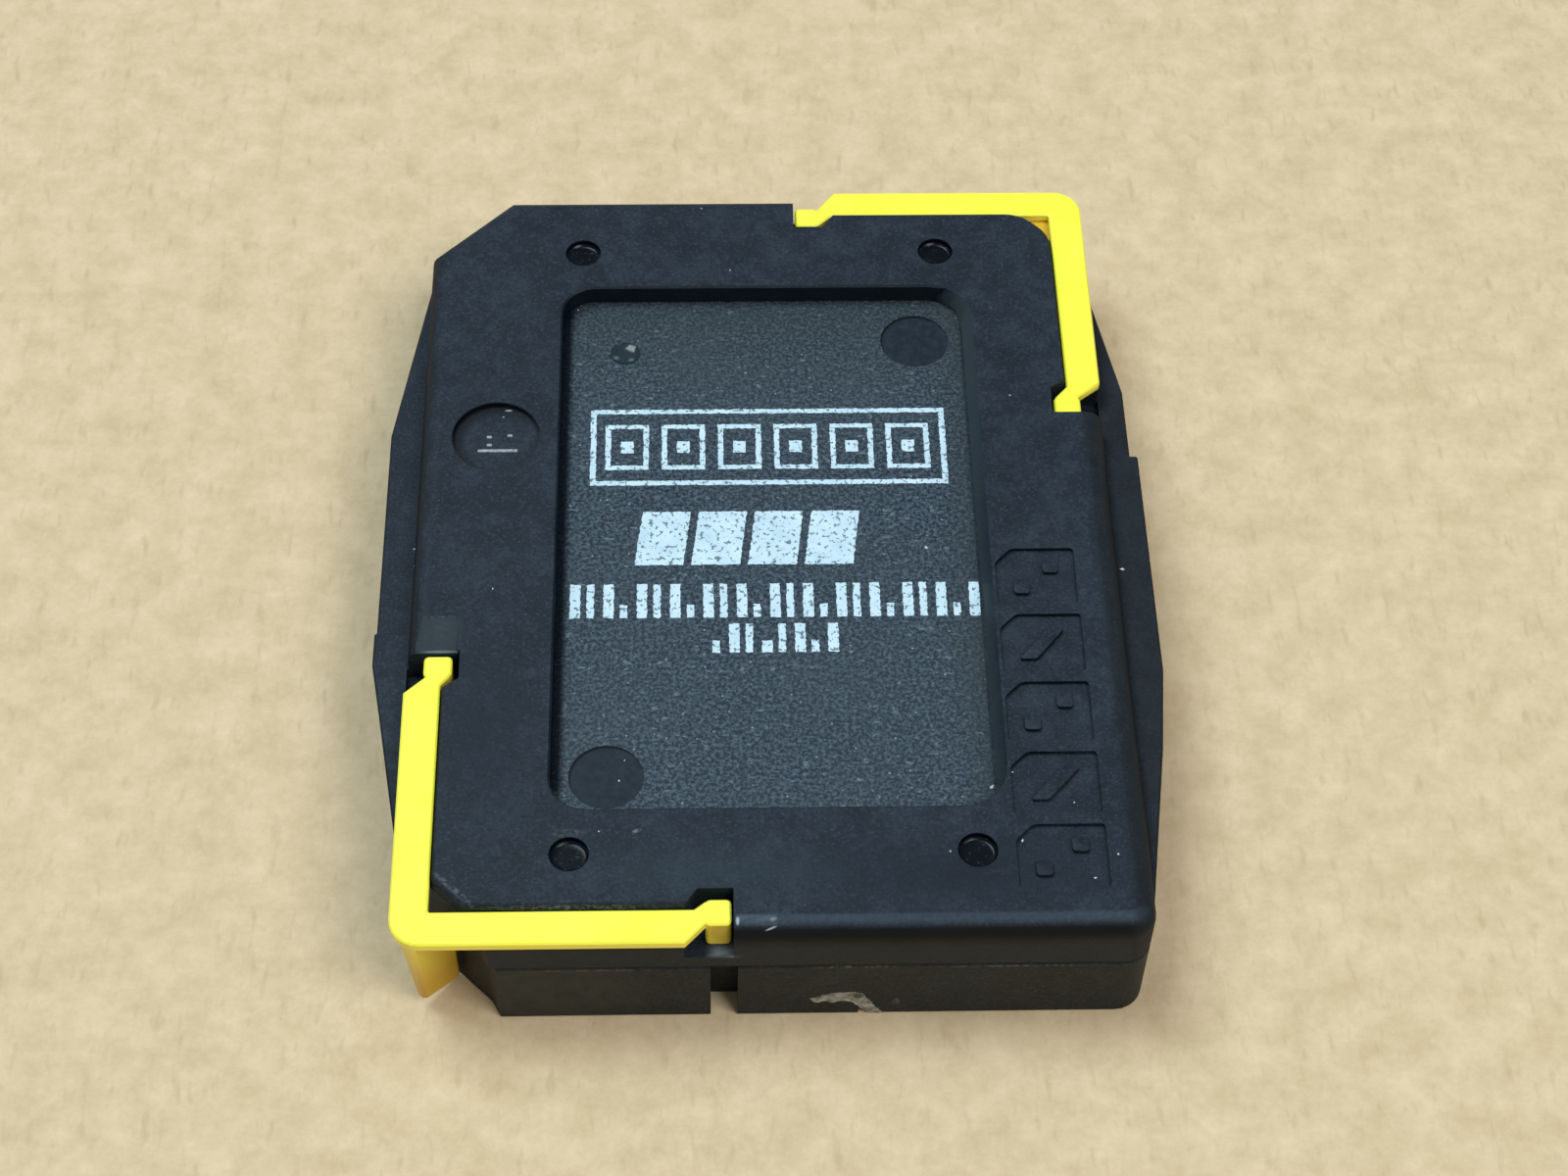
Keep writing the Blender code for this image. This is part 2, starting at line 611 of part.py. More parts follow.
def body_mesh():
    """The moulded body: widest where the leads leave it and drafted to both faces."""
    half_x = BODY_WIDTH / 2
    half_y = BODY_LENGTH / 2
    outline = rounded([(*corner, BODY_CORNER) for corner in box(-half_x, -half_y, half_x, half_y)], steps=2)
    mesh = plate_mesh("body", outline, CHIP_BOTTOM, LEAD_EXIT)
    work = bmesh.new()
    work.from_mesh(mesh)
    lid = [face for face in work.faces if face.normal.z > 0.5]
    raised = bmesh.ops.extrude_face_region(work, geom=lid)["geom"]
    bmesh.ops.delete(work, geom=lid, context="FACES")
    bmesh.ops.translate(work, vec=(0, 0, CHIP_TOP - LEAD_EXIT),
                        verts=[vert for vert in raised if isinstance(vert, bmesh.types.BMVert)])
    for vert in work.verts:
        if abs(vert.co.z - LEAD_EXIT) > SAME_PLACE:
            vert.co.x *= 1 - BODY_DRAFT / half_x
            vert.co.y *= 1 - BODY_DRAFT / half_y
    bmesh.ops.recalc_face_normals(work, faces=work.faces)
    work.to_mesh(mesh)
    work.free()
    return mesh


def lead_mesh():
    """One lead, bent down and out like a gull's wing, from its root inside the body to its toe."""
    foot = CHIP_BOTTOM - STANDOFF + LEAD_THICKNESS / 2
    heel = LEAD_REACH - LEAD_FOOT
    line = (-LEAD_ROOT, LEAD_EXIT), (LEAD_SHOULDER, LEAD_EXIT), (heel, foot), (LEAD_REACH, foot)
    bends = [Vector(point) for point in line]
    upper = []
    lower = []
    for index, bend in enumerate(bends):
        before = (bend - bends[max(index - 1, 0)]).normalized()
        after = (bends[min(index + 1, len(bends) - 1)] - bend).normalized()
        along = (before + after).normalized()
        across = Vector((-along.y, along.x)) * LEAD_THICKNESS / 2
        across /= max(along.dot(before), along.dot(after))
        upper.append(tuple(bend + across))
        lower.append(tuple(bend - across))
    mesh = plate_mesh("lead", lower + upper[::-1], -LEAD_WIDTH / 2, LEAD_WIDTH / 2)
    mesh.transform(Matrix.Rotation(math.pi / 2, 4, "X"))
    return mesh


def chip_package(material):
    """The chip: its moulded body with two ejector marks and a dimple at lead 1, and its leads."""
    piece = solid("chip_package", body_mesh(), parts, material)
    mark_x = BODY_WIDTH / 2 - EJECTOR_MARK_FROM_SIDE
    mark_y = BODY_LENGTH / 2 - EJECTOR_MARK_FROM_END
    marks = [
        round_mesh("ejector mark", place, CHIP_TOP - EJECTOR_MARK_DEPTH, CHIP_TOP + OVERRUN,
                   EJECTOR_MARK_DIAMETER, segments=32)
        for place in ((mark_x, mark_y), (-mark_x, -mark_y))
    ]
    place = (DIMPLE_FROM_SIDE - BODY_WIDTH / 2, BODY_LENGTH / 2 - DIMPLE_FROM_END)
    marks.append(round_mesh("dimple", place, CHIP_TOP - DIMPLE_DEPTH, CHIP_TOP + OVERRUN, DIMPLE_DIAMETER))
    cut(piece, solid("face marks", merged_mesh("face marks", marks), cutters))
    cut(piece, solid("leads", repeated_mesh("leads", lead_mesh()), cutters), "UNION")
    return piece


def clip_mesh(corner):
    """A corner's clip, drawn for the front left: a flat L with a thick tab at each end and a fin below."""
    inner_x = -SIDE_WALL - CLIP_CLEARANCE
    inner_y = -corner.end_wall - CLIP_CLEARANCE
    outer_x = inner_x - ARM_WIDTH
    outer_y = inner_y - ARM_WIDTH
    end_x = -NOTCH_END_X - TAB_CLEARANCE
    end_y = -corner.side_end - TAB_CLEARANCE
    tab_x = end_x - TAB_LENGTH
    tab_y = end_y - TAB_LENGTH
    reach = TAB_LENGTH / 2
    tab_near_y = inner_y + corner.end_shift
    tab_near_x = inner_x + corner.side_shift
    near_y = tab_near_y - EDGE_BREAK
    far_y = tab_near_y - TAB_WIDTH + EDGE_BREAK
    near_x = tab_near_x - EDGE_BREAK
    far_x = tab_near_x - TAB_WIDTH + EDGE_BREAK
    arms = rounded([
        (outer_x, outer_y, CLIP_CORNER), (tab_x - TAB_BEVEL, outer_y),
        (tab_x, far_y), (tab_x + reach, far_y), (tab_x + reach, near_y), (tab_x, near_y),
        (tab_x - corner.end_shift, inner_y), (inner_x, inner_y), (inner_x, tab_y - corner.side_shift),
        (near_x, tab_y), (near_x, tab_y + reach), (far_x, tab_y + reach), (far_x, tab_y),
        (outer_x, tab_y - TAB_BEVEL),
    ])
    clip = solid("clip", plate_mesh("clip", arms, CLIP_UNDERSIDE, CLIP_TOP), cutters)
    chamfered(clip, CLIP_EDGE)
    front_tab = box(tab_x, tab_near_y - TAB_WIDTH, end_x, tab_near_y)
    side_tab = box(tab_near_x - TAB_WIDTH, tab_y, tab_near_x, end_y)
    for name, outline in (("front tab", front_tab), ("side tab", side_tab)):
        plan = rounded([(*point, TAB_CORNER) for point in outline], steps=3)
        tab = solid(name, plate_mesh(name, plan, TAB_UNDERSIDE, CLIP_TOP), cutters)
        chamfered(tab, CLIP_EDGE)
        cut(clip, tab, "UNION")
    wall = (-outer_x - outer_y - cut_wall(corner.cut)) / math.sqrt(2)
    inner_corner = ARM_WIDTH * math.sqrt(2)
    start = CLIP_CORNER * (math.sqrt(2) - 1) + FIN_INSET
    into_arm = CLIP_UNDERSIDE + CLIP_THICKNESS / 2
    profile = [
        (start, into_arm), (start + FIN_TAPER, FIN_TIP), (wall - FIN_GAP + FIN_TOE, FIN_TIP - FIN_TOE_DROP),
        (wall - FIN_GAP, CLIP_UNDERSIDE - FIN_SHOULDER), (inner_corner, CLIP_UNDERSIDE),
        (inner_corner - CLIP_THICKNESS, into_arm),
    ]
    fin_mesh = plate_mesh("fin", profile, -FIN_THICKNESS / 2, FIN_THICKNESS / 2)
    for vertex in fin_mesh.vertices:
        depth = (into_arm - vertex.co.y) / (into_arm - FIN_TIP)
        vertex.co.z *= 1 - depth * (1 - FIN_TIP_THICKNESS / FIN_THICKNESS)
    upright = Matrix.Rotation(math.pi / 2, 4, "X")
    diagonal = Matrix.Rotation(math.pi / 4, 4, "Z")
    fin_mesh.transform(Matrix.Translation((outer_x, outer_y, 0)) @ diagonal @ upright)
    fin = solid("fin", fin_mesh, cutters)
    chamfered(fin, FIN_EDGE)
    cut(clip, fin, "UNION")
    bpy.context.view_layer.update()
    mesh = bpy.data.meshes.new_from_object(clip.evaluated_get(bpy.context.evaluated_depsgraph_get()))
    bpy.data.objects.remove(clip)
    return mesh


def clips(material):
    """The two clips, half a turn apart."""
    solid("clip_front_left", clip_mesh(FRONT_LEFT), parts, material)
    far_clip = solid("clip_back_right", clip_mesh(BACK_RIGHT), parts, material)
    far_clip.rotation_euler.z = math.pi


for old in list(bpy.data.objects):
    bpy.data.objects.remove(old)
parts = new_collection("chip_in_carrier")
cutters = new_collection("cutters")
black_plastic = new_material("black moulded plastic", (0.025, 0.028, 0.032), 0.45)
chip_epoxy = new_material("chip epoxy", (0.035, 0.038, 0.04), 0.7)
yellow_plastic = new_material("yellow moulded plastic", (0.9, 0.75, 0.08), 0.4)
upper_frame(black_plastic)
lower_frame(black_plastic)
chip_package(chip_epoxy)
clips(yellow_plastic)
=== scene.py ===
"""A logic chip in its moulded carrier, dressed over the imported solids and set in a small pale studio."""
import math
import random

import bmesh
import bpy
from mathutils import Matrix, Vector


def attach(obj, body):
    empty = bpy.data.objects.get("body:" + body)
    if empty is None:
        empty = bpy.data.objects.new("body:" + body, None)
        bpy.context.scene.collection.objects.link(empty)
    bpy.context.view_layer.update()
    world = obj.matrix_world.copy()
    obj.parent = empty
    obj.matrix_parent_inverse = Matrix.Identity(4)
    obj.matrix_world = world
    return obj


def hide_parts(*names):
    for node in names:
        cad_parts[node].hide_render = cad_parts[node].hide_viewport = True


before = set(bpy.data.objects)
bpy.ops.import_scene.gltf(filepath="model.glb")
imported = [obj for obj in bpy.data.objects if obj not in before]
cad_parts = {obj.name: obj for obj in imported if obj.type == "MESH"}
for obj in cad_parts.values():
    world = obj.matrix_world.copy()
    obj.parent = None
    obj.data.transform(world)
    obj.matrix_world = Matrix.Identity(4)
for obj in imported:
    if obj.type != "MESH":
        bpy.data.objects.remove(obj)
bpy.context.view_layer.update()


# The camera: it looks at the carrier from the front and above, from a hand's width away.
# It is turned a little to the left and leans a little to the right.
CAMERA_PLACE = (-0.0017812, -0.0542675, 0.0734239)
ELEVATION = math.radians(52.9)
YAW = math.radians(-2.48)
LEAN = math.radians(1.505)
camera_data = bpy.data.cameras.new("camera")
camera_data.sensor_width = 36
camera_data.lens = 69.06
camera_data.clip_start = 0.001
level = math.cos(ELEVATION)
back = Vector((math.sin(YAW) * level, -math.cos(YAW) * level, math.sin(ELEVATION)))
across = Vector((math.cos(YAW), math.sin(YAW), 0))
turn = Matrix((across, back.cross(across), back)).transposed() @ Matrix.Rotation(LEAN, 3, "Z")
camera = bpy.data.objects.new("camera", camera_data)
camera.matrix_world = Matrix.Translation(CAMERA_PLACE) @ turn.to_4x4()
bpy.context.scene.collection.objects.link(camera)
bpy.context.scene.camera = camera
bpy.context.scene.view_settings.view_transform = "Standard"


# The upper frame: the lid that closes over the chip and leaves its face in a window with a sloping right
# edge. Black glass-filled plastic, injection moulded with a fine spark-eroded grain and rounded rims. Five
# plain panels and one round recess are sunk into it, and handling has rubbed and dusted it.
# Shade, sheen and highlights on its rims, walls, sides and recess are painted into its colour.
MM = 0.001
TOP = 0.00445
PANEL_DEPTH = 0.13 * MM
PANEL_ROUNDING = 0.12 * MM
RECESS_X = -7.99
RECESS_Y = 3.62
RECESS_RADIUS = 1.3
RECESS_DEPTH = 0.18 * MM
OPENING_BOTTOM = 3.6 * MM
OPENING_HEIGHT = 0.9 * MM
OPENING_ROUNDING = 1.2 * MM
EDGE_SLOPE = 0.36 * MM
PIT_PLACES = [(x, y) for x in (-5.52, 5.52) for y in (-11.07, 11.07)]
PLASTIC_GLINT = 0.22
WALL_GLINT = 0.06


def node(tree, kind, inputs=None, **settings):
    """Adds a shader node with its settings, and gives its inputs a value or the socket that feeds them."""
    made = tree.nodes.new("ShaderNode" + kind)
    for name, value in settings.items():
        setattr(made, name, value)
    for key, value in (inputs or {}).items():
        if isinstance(value, bpy.types.NodeSocket):
            tree.links.new(value, made.inputs[key])
        else:
            made.inputs[key].default_value = value
    return made


def new_finish(name, **constants):
    """A Principled material with its constant values, its shader and the piece's own coordinates."""
    material = bpy.data.materials.new(name)
    material.use_nodes = True
    shader = material.node_tree.nodes["Principled BSDF"]
    for socket, value in constants.items():
        shader.inputs[socket.replace("_", " ")].default_value = value
    return material, shader, node(material.node_tree, "TexCoord").outputs["Object"]


def feed(shader, **sockets):
    """Links values that vary over a piece to the shader's inputs."""
    for name, value in sockets.items():
        shader.id_data.links.new(value, shader.inputs[name.replace("_", " ")])


def cloud(place, size, detail=3.0, roughness=0.5, stretch=None):
    """Noise whose spots are about one size across, or drawn out along the axes of a stretch."""
    tree = place.id_data
    if stretch:
        place = node(tree, "Mapping", {"Vector": place, "Scale": stretch}).outputs["Vector"]
    inputs = {"Vector": place, "Scale": 1 / size, "Detail": detail, "Roughness": roughness}
    return node(tree, "TexNoise", inputs).outputs["Fac"]


def levels(value, low, high, start=0.0, end=1.0):
    """A value from low to high, turned into one from start to end."""
    inputs = {"Value": value, "From Min": low, "From Max": high, "To Min": start, "To Max": end}
    return node(value.id_data, "MapRange", inputs).outputs["Result"]


def mixed(factor, first, second):
    """One colour laid over another by a factor."""
    return node(factor.id_data, "Mix", {0: factor, 6: first, 7: second}, data_type="RGBA").outputs[2]


def times(*values):
    """The product of several values."""
    product = values[0]
    for value in values[1:]:
        product = node(product.id_data, "Math", {0: product, 1: value}, operation="MULTIPLY").outputs[0]
    return product


def plus(first, second):
    """The sum of two values."""
    return node(first.id_data, "Math", {0: first, 1: second}, operation="ADD").outputs[0]


def axes(vector):
    """The three components of a vector."""
    return node(vector.id_data, "SeparateXYZ", {"Vector": vector}).outputs


def facing(place):
    """Which way the surface faces, along each axis."""
    return axes(node(place.id_data, "NewGeometry").outputs["Normal"])


def flecks(place, spacing, size, share):
    """Round specks about a size across, one in some of the cells of a loose grid."""
    cells = node(place.id_data, "TexVoronoi", {"Vector": place, "Scale": 1 / spacing})
    radius = size / spacing
    spot = levels(cells.outputs["Distance"], radius, radius * 0.6)
    tint = node(place.id_data, "SeparateColor", {0: cells.outputs["Color"]}).outputs[0]
    return times(spot, levels(tint, 1 - share, 1.001 - share))


def patch(place, centre, reach, turn=0.0, soft=0.5):
    """A round or drawn-out patch, in mm: 1 inside and fading to 0 over the soft share of its reach."""
    inputs = {"Vector": place, "Location": [value * MM for value in centre], "Rotation": (0, 0, turn),
              "Scale": [value * MM for value in reach]}
    own = node(place.id_data, "Mapping", inputs, vector_type="TEXTURE").outputs["Vector"]
    ball = node(place.id_data, "TexGradient", {"Vector": own}, gradient_type="SPHERICAL")
    return levels(ball.outputs["Fac"], 0, soft)


def lay_wear_and_light(shader, mask, colour):
    """Lays a colour over a finish where a mask says so: real wear and dirt, and painted light and shade."""
    under = shader.inputs["Base Color"].links[0].from_socket
    feed(shader, Base_Color=mixed(mask, under, colour))


def relief(shader, height, depth, strength):
    """Gives a surface the fine relief of a height map."""
    bump = node(shader.id_data, "Bump", {"Strength": strength, "Distance": depth, "Height": height})
    feed(shader, Normal=bump.outputs["Normal"])


def carrier_plastic(name, colour, bloom):
    """The frames' black plastic, with its grain, cloudy handling marks and a little dust."""
    material, shader, place = new_finish(name, Specular_IOR_Level=PLASTIC_GLINT)
    grain = cloud(place, 0.09 * MM, detail=2, roughness=0.7)
    patches = cloud(place, 2.6 * MM, detail=5, roughness=0.6)
    smears = cloud(place, 0.7 * MM, detail=4, roughness=0.6)
    specks = flecks(place, 0.45 * MM, 0.02 * MM, 0.4)
    dust = flecks(place, 1.3 * MM, 0.036 * MM, 0.4)
    dark = tuple(value * 0.62 for value in colour[:3]) + (1,)
    light = tuple(value * 1.5 + 0.006 for value in bloom[:3]) + (1,)
    tone = mixed(levels(patches, 0.34, 0.66), colour, bloom)
    tone = mixed(levels(smears, 0.5, 0.32, 0, 0.55), tone, dark)
    tone = mixed(levels(smears, 0.5, 0.72, 0, 0.45), tone, light)
    tone = mixed(levels(grain, 0.54, 0.7, 0, 0.8), tone, light)
    tone = mixed(levels(grain, 0.46, 0.32, 0, 0.75), tone, dark)
    tone = mixed(specks, tone, (0.12, 0.14, 0.15, 1))
    tone = mixed(dust, tone, (0.34, 0.37, 0.38, 1))
    gloss = plus(levels(patches, 0.3, 0.7, 0.54, 0.62), levels(smears, 0.35, 0.65, -0.04, 0.04))
    feed(shader, Base_Color=tone, Roughness=gloss)
    relief(shader, grain, 0.014 * MM, 0.6)
    return material, shader, place


def scaled(plan):
    """A plan in mm, in metres."""
    return [(x * MM, y * MM) for x, y in plan]


def box_corners(left, front, right, rear):
    """The four corners of a rectangle."""
    return [(left, front), (right, front), (right, rear), (left, rear)]


def disc(x, y, radius, steps=48):
    """The outline of a disc."""
    turns = [step * math.tau / steps for step in range(steps)]
    return [(x + radius * math.cos(turn), y + radius * math.sin(turn)) for turn in turns]


def low_block(corners, bottom, height, rounding=0.0, softness=0.0):
    """A low block on a flat face with its corners rounded and its upper edges softened."""
    work = bmesh.new()
    work.faces.new([work.verts.new((x, y, bottom)) for x, y in corners])
    if rounding:
        bmesh.ops.bevel(work, geom=work.verts[:], offset=rounding, offset_type="OFFSET", affect="VERTICES",
                        segments=4, profile=0.5, material=-1)
    upper = bmesh.ops.extrude_face_region(work, geom=work.faces[:])["geom"]
    raised = [part for part in upper if isinstance(part, bmesh.types.BMVert)]
    bmesh.ops.translate(work, vec=(0, 0, height), verts=raised)
    bmesh.ops.recalc_face_normals(work, faces=work.faces)
    if softness:
        middle = bottom + height / 2
        edges = [edge for edge in work.edges
                 if all(vert.co.z > middle for vert in edge.verts) and edge.calc_face_angle(0) > 1]
        bmesh.ops.bevel(work, geom=edges, offset=softness, affect="EDGES", segments=2, profile=0.5,
                        material=-1)
    mesh = bpy.data.meshes.new("block")
    work.to_mesh(mesh)
    work.free()
    return mesh


def gathered(name, meshes):
    """One mesh out of several."""
    work = bmesh.new()
    for mesh in meshes:
        work.from_mesh(mesh)
        bpy.data.meshes.remove(mesh)
    merged = bpy.data.meshes.new(name)
    work.to_mesh(merged)
    work.free()
    return merged


def carved(mesh, carving):
    """A mesh with another one cut out of it."""
    piece, tool = (bpy.data.objects.new(data.name, data) for data in (mesh, carving))
    for item in (piece, tool):
        bpy.context.scene.collection.objects.link(item)
    cut = piece.modifiers.new("carving", "BOOLEAN")
    cut.object = tool
    bpy.context.view_layer.update()
    result = bpy.data.meshes.new_from_object(piece.evaluated_get(bpy.context.evaluated_depsgraph_get()))
    name = mesh.name
    for item in (piece, tool):
        bpy.data.objects.remove(item)
    for data in (mesh, carving):
        bpy.data.meshes.remove(data)
    result.name = name
    return result


def finished(mesh, *finishes):
    """Makes a mesh a piece that rides on the part, shaded smooth up to 35 degrees."""
    if "custom_normal" in mesh.attributes:
        mesh.attributes.remove(mesh.attributes["custom_normal"])
    mesh.polygons.foreach_set("use_smooth", [True] * len(mesh.polygons))
    mesh.set_sharp_from_angle(angle=math.radians(35))
    mesh.materials.clear()
    for finish in finishes:
        mesh.materials.append(finish)
    piece = bpy.data.objects.new(mesh.name, mesh)
    bpy.context.scene.collection.objects.link(piece)
    piece.modifiers.new("even shading", "WEIGHTED_NORMAL").keep_sharp = True
    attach(piece, "root")
    return piece


def dressed_copy(node_name, name, *finishes, carving=None):
    """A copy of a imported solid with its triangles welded, smooth over its rounds, that stands for it."""
    work = bmesh.new()
    work.from_mesh(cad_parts[node_name].data)
    bmesh.ops.remove_doubles(work, verts=work.verts, dist=1e-7)
    bmesh.ops.dissolve_limit(work, angle_limit=math.radians(0.3), verts=work.verts, edges=work.edges)
    mesh = bpy.data.meshes.new(name)
    work.to_mesh(mesh)
    work.free()
    if carving:
        mesh = carved(mesh, carving)
    piece = finished(mesh, *finishes)
    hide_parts(node_name)
    return piece


panels = []
for index in range(5):
    rear = -0.78 - 2.37 * index
    panels.append((6.6 - 0.01 * index, rear - 2.02, 8.92 + 0.03 * index, rear))
hollows = []
for left, front, right, rear in panels:
    plan = [(left, front), (right, front), (right, rear), (left + 0.5, rear), (left, rear - 0.5)]
    hollows.append(low_block(scaled(plan), TOP - PANEL_DEPTH, 3 * PANEL_DEPTH, PANEL_ROUNDING))
recess_plan = scaled(disc(RECESS_X, RECESS_Y, RECESS_RADIUS))
hollows.append(low_block(recess_plan, TOP - RECESS_DEPTH, 3 * RECESS_DEPTH))
opening_plan = scaled(box_corners(-5.0, -9.59, 6.16, 9.59))
opening = low_block(opening_plan, OPENING_BOTTOM, OPENING_HEIGHT, OPENING_ROUNDING)
for vert in opening.vertices:
    if vert.co.x > 0 and vert.co.z > OPENING_BOTTOM + OPENING_HEIGHT / 2:
        vert.co.x += EDGE_SLOPE
hollows.append(opening)

lid_finish, lid_shader, lid_place = carrier_plastic(
    "lid plastic", (0.0074, 0.0142, 0.025, 1), (0.0172, 0.0275, 0.0425, 1))
turned = node(lid_place.id_data, "Mapping", {"Vector": lid_place, "Rotation": (0, 0, math.radians(-14))})
brushed = levels(cloud(turned.outputs["Vector"], 0.16 * MM, stretch=(0.12, 1, 1)), 0.3, 0.7)
speckled = levels(cloud(lid_place, 0.13 * MM), 0.42, 0.62)
lid_x, lid_y, lid_z = axes(lid_place)
facing_x, facing_y, facing_z = facing(lid_place)

# Rubbed spots: the edges of the front clip's seat, where a painted highlight lies over the wear, places
# round the two front pits, the step behind the left tab, and the notch under the front tab. Each has its
# texture, centre, reach, turn and colour.
rubs_and_glints = (
    (speckled, (-8.6, -12.1, 4.4), (0.95, 0.1, 0.4), math.radians(-44), (0.08, 0.095, 0.105, 1)),
    (speckled, (-5.4, -12.68, 4.4), (3.3, 0.08, 0.4), 0, (0.12, 0.14, 0.15, 1)),
    (speckled, (6.1, -11.75, 4.45), (0.7, 0.16, 0.4), 0.1, (0.04, 0.05, 0.06, 1)),
    (speckled, (-3.7, -10.35, 4.45), (0.16, 0.07, 0.2), 0.3, (0.12, 0.14, 0.15, 1)),
    (speckled, (-9.35, -3.08, 4.3), (0.6, 0.05, 0.5), 0, (0.06, 0.08, 0.09, 1)),
    (speckled, (-5.6, -10.4, 4.45), (0.62, 0.16, 0.3), 0, (0.045, 0.06, 0.075, 1)),
    (brushed, (-1.3, -13.35, 3.15), (0.6, 0.5, 0.14), 0, (0.16, 0.19, 0.22, 1)),
)
for texture, centre, reach, turn, colour in rubs_and_glints:
    lay_wear_and_light(lid_shader, times(patch(lid_place, centre, reach, turn), texture), colour)


def lid_tone(centre, reach, share):
    """A wide soft change of tone on the lid's face, as strong as its share."""
    return levels(patch(lid_place, centre, reach, soft=1), 0, 1, 0, share)


front_strip = levels(lid_y, -12.8 * MM, -12.9 * MM)
right_of_tab = levels(lid_x, -1.08 * MM, -1.0 * MM)
front_round = times(front_strip, right_of_tab, levels(facing_y, -0.04, -0.2), levels(facing_y, -0.62, -0.36))
under_round = times(front_strip, levels(facing_y, -0.55, -0.74), levels(facing_y, -1.0, -0.95))
front_face = times(front_strip, levels(facing_y, -0.97, -0.995, 0, 0.7))
face_upper = times(front_strip, levels(facing_y, -0.93, -0.97), levels(lid_z, 3.5 * MM, 3.9 * MM, 0, 0.9))
inside = patch(lid_place, (0, 0, 4.2), (10.2, 12.9, 3), soft=0.04)
rear_wall = times(inside, levels(facing_y, -0.5, -0.85, 0, 0.85))
left_wall = times(inside, levels(facing_x, 0.5, 0.85, 0, 0.85))
right_slope = times(inside, levels(facing_x, -0.3, -0.8))
right_side = times(levels(facing_x, 0.5, 0.9), levels(lid_x, 8.5 * MM, 9.0 * MM))
left_side = times(levels(facing_x, -0.5, -0.9), levels(lid_x, -8.5 * MM, -9.0 * MM))
sides = plus(right_side, left_side)
recess_disc = patch(lid_place, (RECESS_X, RECESS_Y, 4.3), (1.36, 1.36, 3), soft=0.03)
recess_light = patch(lid_place, (-7.8, 3.48, 4.3), (1.3, 1.3, 3), soft=0.2)
ledge = times(levels(lid_x, -10.05 * MM, -9.75 * MM), levels(lid_x, -8.66 * MM, -8.8 * MM),
              levels(lid_y, -3.0 * MM, -3.2 * MM), levels(lid_y, -4.4 * MM, -4.3 * MM))
shades = (
    # painted sheen along the front rim's round, and a brighter painted highlight on the stretch of it that
    # is burnished
    (times(front_round, levels(speckled, 0, 1, 0.62, 1)), (0.029, 0.049, 0.073, 1)),
    (times(front_round, brushed, levels(lid_x, 0.1 * MM, 0.0)), (0.07, 0.1, 0.135, 1)),
    # the front face: painted shade under the round, a painted brown reflection of the floor below it, and
    # painted shade again where it is high
    (under_round, (0.001, 0.002, 0.004, 1)),
    (front_face, (0.0125, 0.0155, 0.0155, 1)),
    (face_upper, (0.0015, 0.0025, 0.004, 1)),
    # painted shade on the window's rear and left walls, and painted light on its right slope, paler low down
    # and towards the rear
    (rear_wall, (0.002, 0.006, 0.011, 1)),
    (left_wall, (0.001, 0.005, 0.012, 1)),
    (times(right_slope, levels(lid_z, 4.4 * MM, 3.8 * MM, 0.25, 0.85)), (0.042, 0.062, 0.075, 1)),
    (times(right_slope, levels(lid_y, 0, 7 * MM, 0, 0.7)), (0.06, 0.084, 0.098, 1)),
    # painted shade on the outer sides
    (sides, (0.006, 0.0105, 0.0165, 1)),
    # painted shade inside the round recess, and a painted glint on its edge
    (times(recess_disc, levels(recess_light, 1, 0, 0, 0.85)), (0.002, 0.004, 0.007, 1)),
    (patch(lid_place, (-7.66, 4.76, 4.27), (0.13, 0.04, 0.06)), (0.3, 0.35, 0.38, 1)),
    # the rubbed ledge behind the left clip's tab, and its lower edge
    (times(ledge, levels(speckled, 0, 1, 0.7, 1)), (0.018, 0.031, 0.04, 1)),
    (patch(lid_place, (-9.3, -4.2, 4.3), (0.62, 0.05, 0.5)), (0.11, 0.14, 0.15, 1)),
    # wide tones: the front right and the left are darker, the middle of the front is paler
    (lid_tone((5.2, -11.8, 4.4), (6.0, 1.6, 2), 0.85), (0.005, 0.01, 0.02, 1)),
    (lid_tone((-8.0, -7.0, 4.4), (1.9, 4, 2), 0.6), (0.006, 0.011, 0.02, 1)),
    (lid_tone((-1.5, -11.6, 4.4), (4.5, 1.1, 2), 0.5), (0.022, 0.04, 0.055, 1)),
    # painted shadow on the right flange, which lies in the lid's shade
    (levels(lid_x, 9.5 * MM, 9.7 * MM, 0, 0.6), (0.006, 0.009, 0.012, 1)),
    # the scratches on the front rim beside the tab
    (patch(lid_place, (-1.0, -13.17, 4.35), (0.06, 0.13, 0.4)), (0.3, 0.4, 0.47, 1)),
    (times(brushed, patch(lid_place, (-0.05, -13.14, 4.4), (0.12, 0.06, 0.3), 0.3)), (0.3, 0.37, 0.42, 1)),
    (patch(lid_place, (-0.11, -13.35, 4.25), (0.19, 0.024, 0.4), 0.27), (0.3, 0.37, 0.42, 1)),
)
for mask, colour in shades:
    lay_wear_and_light(lid_shader, mask, colour)
dull_walls = plus(sides, times(inside, levels(facing_x, 0.5, 0.85)))
# Painted shade on the walls of the four pits, which are dulled too.
for x, y in PIT_PLACES:
    pit_wall = times(patch(lid_place, (x, y, 4.1), (0.66, 0.66, 0.6), soft=0.05), levels(facing_z, 0.7, 0.3))
    lay_wear_and_light(lid_shader, pit_wall, (0.001, 0.004, 0.009, 1))
    dull_walls = plus(dull_walls, pit_wall)
feed(lid_shader, Specular_IOR_Level=levels(dull_walls, 0, 1, PLASTIC_GLINT, WALL_GLINT))
lid = dressed_copy("upper_frame", "lid", lid_finish, carving=gathered("hollows", hollows))


